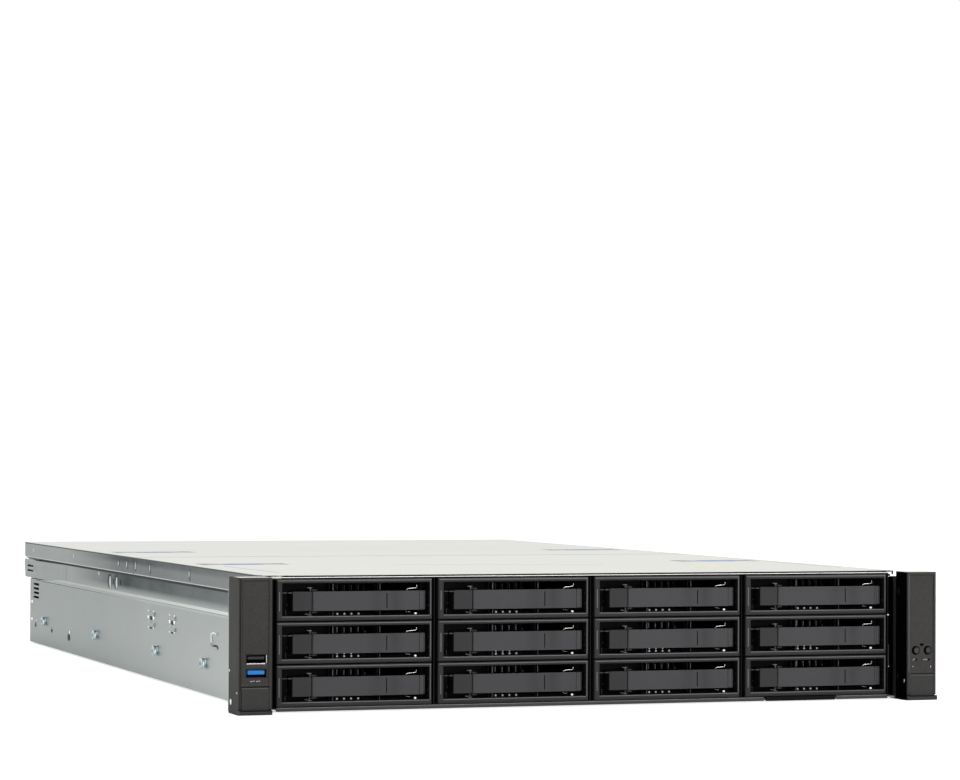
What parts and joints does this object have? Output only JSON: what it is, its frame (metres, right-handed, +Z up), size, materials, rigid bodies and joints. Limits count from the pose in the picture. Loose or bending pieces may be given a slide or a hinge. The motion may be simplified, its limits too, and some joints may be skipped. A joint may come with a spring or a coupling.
{
  "type": "rack server",
  "caption": "Two-unit rack server: sheet-metal chassis with sliding cover, hot-swap drive carriers with pull levers, rack ears, fans and slide-out power supplies.",
  "frame": {"origin": "under the middle of the machine, on the surface that it rests on", "axes": "+X to the right as seen from the front, +Y from the front to the rear, +Z up"},
  "size_m": [0.4826, 0.8234, 0.0864],
  "materials": {
    "galvanised_sheet": "satin galvanised sheet",
    "pale_cover": "bright satin sheet",
    "black_cage": "matte black paint",
    "carrier_black": "moulded, fine grain",
    "lever_grey": "moulded, fine grain",
    "ear_black": "moulded, fine grain",
    "zinc_fastener": "bright zinc plate",
    "socket_blue": "smooth",
    "fan_black": "moulded",
    "board_green": "solder mask",
    "supply_metal": "satin galvanised sheet",
    "latch_green": "moulded"
  },
  "bodies": {
    "chassis": {"chassis_pan": "galvanised_sheet", "front_cover": "pale_cover", "drive_cage": "black_cage", "drive_backplane": "board_green", "left_ear": "ear_black", "right_ear": "ear_black", "usb_ports": "socket_blue", "fasteners": "zinc_fastener", "fan_housings": "fan_black", "system_board": "board_green", "expansion_cage": "galvanised_sheet"},
    "carrier_31": {"carrier_31": "carrier_black"},
    "lever_31": {"lever_31": "lever_grey"},
    "catch_31": {"catch_31": "lever_grey"},
    "carrier_21": {"carrier_21": "carrier_black"},
    "lever_21": {"lever_21": "lever_grey"},
    "catch_21": {"catch_21": "lever_grey"},
    "carrier_11": {"carrier_11": "carrier_black"},
    "lever_11": {"lever_11": "lever_grey"},
    "catch_11": {"catch_11": "lever_grey"},
    "carrier_32": {"carrier_32": "carrier_black"},
    "lever_32": {"lever_32": "lever_grey"},
    "catch_32": {"catch_32": "lever_grey"},
    "carrier_22": {"carrier_22": "carrier_black"},
    "lever_22": {"lever_22": "lever_grey"},
    "catch_22": {"catch_22": "lever_grey"},
    "carrier_12": {"carrier_12": "carrier_black"},
    "lever_12": {"lever_12": "lever_grey"},
    "catch_12": {"catch_12": "lever_grey"},
    "carrier_33": {"carrier_33": "carrier_black"},
    "lever_33": {"lever_33": "lever_grey"},
    "catch_33": {"catch_33": "lever_grey"},
    "carrier_23": {"carrier_23": "carrier_black"},
    "lever_23": {"lever_23": "lever_grey"},
    "catch_23": {"catch_23": "lever_grey"},
    "carrier_13": {"carrier_13": "carrier_black"},
    "lever_13": {"lever_13": "lever_grey"},
    "catch_13": {"catch_13": "lever_grey"},
    "carrier_34": {"carrier_34": "carrier_black"},
    "lever_34": {"lever_34": "lever_grey"},
    "catch_34": {"catch_34": "lever_grey"},
    "carrier_24": {"carrier_24": "carrier_black"},
    "lever_24": {"lever_24": "lever_grey"},
    "catch_24": {"catch_24": "lever_grey"},
    "carrier_14": {"carrier_14": "carrier_black"},
    "lever_14": {"lever_14": "lever_grey"},
    "catch_14": {"catch_14": "lever_grey"},
    "left_door": {"left_door": "ear_black"},
    "right_door": {"right_door": "ear_black"},
    "power_button": {"power_button": "ear_black"},
    "id_button": {"id_button": "ear_black"},
    "information_tag": {"information_tag": "ear_black"},
    "fan_rotor_1": {"fan_rotor_1": "fan_black"},
    "fan_rotor_2": {"fan_rotor_2": "fan_black"},
    "fan_rotor_3": {"fan_rotor_3": "fan_black"},
    "rear_cover": {"rear_cover": "pale_cover"},
    "power_supply_1": {"power_supply_1": "supply_metal"},
    "supply_latch_1": {"supply_latch_1": "latch_green"},
    "power_supply_2": {"power_supply_2": "supply_metal"},
    "supply_latch_2": {"supply_latch_2": "latch_green"}
  },
  "joints": [
    {"name": "carrier_31_slide", "type": "slide", "parent": "chassis", "child": "carrier_31", "axis": [0, -1, 0], "range_m": [0, 0.172]},
    {"name": "lever_31_hinge", "type": "hinge", "parent": "carrier_31", "child": "lever_31", "pos_m": [-0.1894, -0.39715, 0.0163], "axis": [0, 0, -1], "range_deg": [0, 65]},
    {"name": "catch_31_slide", "type": "slide", "parent": "carrier_31", "child": "catch_31", "axis": [1, 0, 0], "range_m": [0, 0.0017], "stiffness_N_per_m": 300, "springref_m": -0.001},
    {"name": "carrier_21_slide", "type": "slide", "parent": "chassis", "child": "carrier_21", "axis": [0, -1, 0], "range_m": [0, 0.172]},
    {"name": "lever_21_hinge", "type": "hinge", "parent": "carrier_21", "child": "lever_21", "pos_m": [-0.1894, -0.39715, 0.0433], "axis": [0, 0, -1], "range_deg": [0, 65]},
    {"name": "catch_21_slide", "type": "slide", "parent": "carrier_21", "child": "catch_21", "axis": [1, 0, 0], "range_m": [0, 0.0017], "stiffness_N_per_m": 300, "springref_m": -0.001},
    {"name": "carrier_11_slide", "type": "slide", "parent": "chassis", "child": "carrier_11", "axis": [0, -1, 0], "range_m": [0, 0.172]},
    {"name": "lever_11_hinge", "type": "hinge", "parent": "carrier_11", "child": "lever_11", "pos_m": [-0.1894, -0.39715, 0.0703], "axis": [0, 0, -1], "range_deg": [0, 65]},
    {"name": "catch_11_slide", "type": "slide", "parent": "carrier_11", "child": "catch_11", "axis": [1, 0, 0], "range_m": [0, 0.0017], "stiffness_N_per_m": 300, "springref_m": -0.001},
    {"name": "carrier_32_slide", "type": "slide", "parent": "chassis", "child": "carrier_32", "axis": [0, -1, 0], "range_m": [0, 0.172]},
    {"name": "lever_32_hinge", "type": "hinge", "parent": "carrier_32", "child": "lever_32", "pos_m": [-0.0824, -0.39715, 0.0163], "axis": [0, 0, -1], "range_deg": [0, 65]},
    {"name": "catch_32_slide", "type": "slide", "parent": "carrier_32", "child": "catch_32", "axis": [1, 0, 0], "range_m": [0, 0.0017], "stiffness_N_per_m": 300, "springref_m": -0.001},
    {"name": "carrier_22_slide", "type": "slide", "parent": "chassis", "child": "carrier_22", "axis": [0, -1, 0], "range_m": [0, 0.172]},
    {"name": "lever_22_hinge", "type": "hinge", "parent": "carrier_22", "child": "lever_22", "pos_m": [-0.0824, -0.39715, 0.0433], "axis": [0, 0, -1], "range_deg": [0, 65]},
    {"name": "catch_22_slide", "type": "slide", "parent": "carrier_22", "child": "catch_22", "axis": [1, 0, 0], "range_m": [0, 0.0017], "stiffness_N_per_m": 300, "springref_m": -0.001},
    {"name": "carrier_12_slide", "type": "slide", "parent": "chassis", "child": "carrier_12", "axis": [0, -1, 0], "range_m": [0, 0.172]},
    {"name": "lever_12_hinge", "type": "hinge", "parent": "carrier_12", "child": "lever_12", "pos_m": [-0.0824, -0.39715, 0.0703], "axis": [0, 0, -1], "range_deg": [0, 65]},
    {"name": "catch_12_slide", "type": "slide", "parent": "carrier_12", "child": "catch_12", "axis": [1, 0, 0], "range_m": [0, 0.0017], "stiffness_N_per_m": 300, "springref_m": -0.001},
    {"name": "carrier_33_slide", "type": "slide", "parent": "chassis", "child": "carrier_33", "axis": [0, -1, 0], "range_m": [0, 0.172]},
    {"name": "lever_33_hinge", "type": "hinge", "parent": "carrier_33", "child": "lever_33", "pos_m": [0.0246, -0.39715, 0.0163], "axis": [0, 0, -1], "range_deg": [0, 65]},
    {"name": "catch_33_slide", "type": "slide", "parent": "carrier_33", "child": "catch_33", "axis": [1, 0, 0], "range_m": [0, 0.0017], "stiffness_N_per_m": 300, "springref_m": -0.001},
    {"name": "carrier_23_slide", "type": "slide", "parent": "chassis", "child": "carrier_23", "axis": [0, -1, 0], "range_m": [0, 0.172]},
    {"name": "lever_23_hinge", "type": "hinge", "parent": "carrier_23", "child": "lever_23", "pos_m": [0.0246, -0.39715, 0.0433], "axis": [0, 0, -1], "range_deg": [0, 65]},
    {"name": "catch_23_slide", "type": "slide", "parent": "carrier_23", "child": "catch_23", "axis": [1, 0, 0], "range_m": [0, 0.0017], "stiffness_N_per_m": 300, "springref_m": -0.001},
    {"name": "carrier_13_slide", "type": "slide", "parent": "chassis", "child": "carrier_13", "axis": [0, -1, 0], "range_m": [0, 0.172]},
    {"name": "lever_13_hinge", "type": "hinge", "parent": "carrier_13", "child": "lever_13", "pos_m": [0.0246, -0.39715, 0.0703], "axis": [0, 0, -1], "range_deg": [0, 65]},
    {"name": "catch_13_slide", "type": "slide", "parent": "carrier_13", "child": "catch_13", "axis": [1, 0, 0], "range_m": [0, 0.0017], "stiffness_N_per_m": 300, "springref_m": -0.001},
    {"name": "carrier_34_slide", "type": "slide", "parent": "chassis", "child": "carrier_34", "axis": [0, -1, 0], "range_m": [0, 0.172]},
    {"name": "lever_34_hinge", "type": "hinge", "parent": "carrier_34", "child": "lever_34", "pos_m": [0.1316, -0.39715, 0.0163], "axis": [0, 0, -1], "range_deg": [0, 65]},
    {"name": "catch_34_slide", "type": "slide", "parent": "carrier_34", "child": "catch_34", "axis": [1, 0, 0], "range_m": [0, 0.0017], "stiffness_N_per_m": 300, "springref_m": -0.001},
    {"name": "carrier_24_slide", "type": "slide", "parent": "chassis", "child": "carrier_24", "axis": [0, -1, 0], "range_m": [0, 0.172]},
    {"name": "lever_24_hinge", "type": "hinge", "parent": "carrier_24", "child": "lever_24", "pos_m": [0.1316, -0.39715, 0.0433], "axis": [0, 0, -1], "range_deg": [0, 65]},
    {"name": "catch_24_slide", "type": "slide", "parent": "carrier_24", "child": "catch_24", "axis": [1, 0, 0], "range_m": [0, 0.0017], "stiffness_N_per_m": 300, "springref_m": -0.001},
    {"name": "carrier_14_slide", "type": "slide", "parent": "chassis", "child": "carrier_14", "axis": [0, -1, 0], "range_m": [0, 0.172]},
    {"name": "lever_14_hinge", "type": "hinge", "parent": "carrier_14", "child": "lever_14", "pos_m": [0.1316, -0.39715, 0.0703], "axis": [0, 0, -1], "range_deg": [0, 65]},
    {"name": "catch_14_slide", "type": "slide", "parent": "carrier_14", "child": "catch_14", "axis": [1, 0, 0], "range_m": [0, 0.0017], "stiffness_N_per_m": 300, "springref_m": -0.001},
    {"name": "left_door_hinge", "type": "hinge", "parent": "chassis", "child": "left_door", "pos_m": [-0.2306, -0.40925, 0.0167], "axis": [-1, 0, 0], "range_deg": [0, 80]},
    {"name": "right_door_hinge", "type": "hinge", "parent": "chassis", "child": "right_door", "pos_m": [0.2306, -0.40925, 0.0167], "axis": [-1, 0, 0], "range_deg": [0, 80]},
    {"name": "power_button_press", "type": "slide", "parent": "chassis", "child": "power_button", "axis": [0, 1, 0], "range_m": [0, 0.001], "stiffness_N_per_m": 400, "springref_m": -0.0005},
    {"name": "id_button_press", "type": "slide", "parent": "chassis", "child": "id_button", "axis": [0, 1, 0], "range_m": [0, 0.001], "stiffness_N_per_m": 400, "springref_m": -0.0005},
    {"name": "information_tag_slide", "type": "slide", "parent": "chassis", "child": "information_tag", "axis": [0, -1, 0], "range_m": [0, 0.052]},
    {"name": "fan_rotor_1_spin", "type": "hinge", "parent": "chassis", "child": "fan_rotor_1", "pos_m": [-0.132, -0.15495, 0.0424], "axis": [0, 1, 0], "continuous": true},
    {"name": "fan_rotor_2_spin", "type": "hinge", "parent": "chassis", "child": "fan_rotor_2", "pos_m": [0, -0.15495, 0.0424], "axis": [0, 1, 0], "continuous": true},
    {"name": "fan_rotor_3_spin", "type": "hinge", "parent": "chassis", "child": "fan_rotor_3", "pos_m": [0.132, -0.15495, 0.0424], "axis": [0, 1, 0], "continuous": true},
    {"name": "rear_cover_slide", "type": "slide", "parent": "chassis", "child": "rear_cover", "axis": [0, 1, 0], "range_m": [0, 0.013]},
    {"name": "power_supply_1_slide", "type": "slide", "parent": "chassis", "child": "power_supply_1", "axis": [0, 1, 0], "range_m": [0, 0.186]},
    {"name": "supply_latch_1_slide", "type": "slide", "parent": "power_supply_1", "child": "supply_latch_1", "axis": [-1, 0, 0], "range_m": [0, 0.002], "stiffness_N_per_m": 500, "springref_m": -0.001},
    {"name": "power_supply_2_slide", "type": "slide", "parent": "chassis", "child": "power_supply_2", "axis": [0, 1, 0], "range_m": [0, 0.186]},
    {"name": "supply_latch_2_slide", "type": "slide", "parent": "power_supply_2", "child": "supply_latch_2", "axis": [-1, 0, 0], "range_m": [0, 0.002], "stiffness_N_per_m": 500, "springref_m": -0.001}
  ]
}
